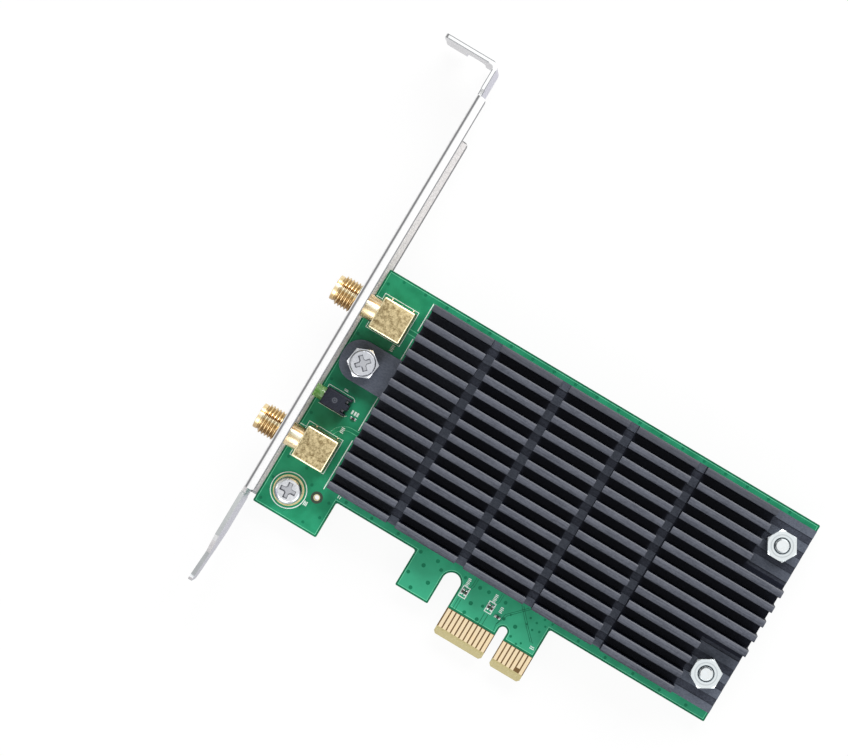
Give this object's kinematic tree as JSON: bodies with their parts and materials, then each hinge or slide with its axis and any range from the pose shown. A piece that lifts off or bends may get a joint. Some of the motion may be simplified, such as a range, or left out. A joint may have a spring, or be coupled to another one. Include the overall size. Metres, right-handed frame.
{
  "type": "wireless network card",
  "caption": "Wireless network card for an x1 expansion slot, with full-height steel bracket, finned heatsink, threaded antenna sockets and an indicator diode.",
  "frame": {"origin": "centre of the key notch on the tongue's bottom edge, on the board's middle plane", "axes": "+X along the board away from the bracket, +Y from the tongue towards the board's top edge and the bracket's screw tab, +Z out of the component side"},
  "size_m": [0.1152, 0.12, 0.02],
  "materials": {
    "board_green": "solder mask, satin",
    "contact_gold": "gold plating, satin",
    "bracket_steel": "zinc plated, fine speckle",
    "heatsink_black": "black anodised, matt",
    "socket_gold": "gold plating, slightly rough",
    "socket_insulation": "white, matt",
    "diode_green": "clear tinted, glossy",
    "holder_black": "moulded, matt",
    "tinned_wire": "tinned, bright",
    "screw_steel": "nickel plated, bright",
    "spacer_plastic": "moulded, matt",
    "chip_black": "moulded, matt",
    "crystal_metal": "satin",
    "inductor_grey": "pressed powder, matt",
    "pad_grey": "soft, matt",
    "part_tan": "fired ceramic with tinned ends",
    "part_black": "glazed black with tinned ends",
    "solder": "bright, smooth"
  },
  "bodies": {
    "root": {"circuit_board": "board_green", "front_edge_contacts": "contact_gold", "rear_edge_contacts": "contact_gold", "mounting_bracket": "bracket_steel", "heatsink": "heatsink_black", "upper_antenna_socket": "socket_gold", "lower_antenna_socket": "socket_gold", "upper_socket_insulator": "socket_insulation", "lower_socket_insulator": "socket_insulation", "upper_socket_centre_contact": "contact_gold", "lower_socket_centre_contact": "contact_gold", "indicator_diode": "diode_green", "diode_holder": "holder_black", "diode_leads": "tinned_wire", "ear_screw": "screw_steel", "board_screw": "screw_steel", "ear_spacer": "spacer_plastic", "upper_heatsink_screw": "screw_steel", "lower_heatsink_screw": "screw_steel", "upper_heatsink_spacer": "spacer_plastic", "lower_heatsink_spacer": "spacer_plastic", "upper_heatsink_nut": "screw_steel", "lower_heatsink_nut": "screw_steel", "radio_chip": "chip_black", "thermal_pad": "pad_grey", "upper_amplifier_chip": "chip_black", "lower_amplifier_chip": "chip_black", "memory_chip": "chip_black", "clock_crystal": "crystal_metal", "regulator_chip": "chip_black", "power_inductor": "inductor_grey", "left_coupling_capacitors": "part_tan", "right_coupling_capacitors": "part_tan", "supply_capacitors": "part_tan", "tongue_resistor": "part_black", "diode_resistor": "part_black", "solder_joints": "solder"}
  },
  "joints": []
}
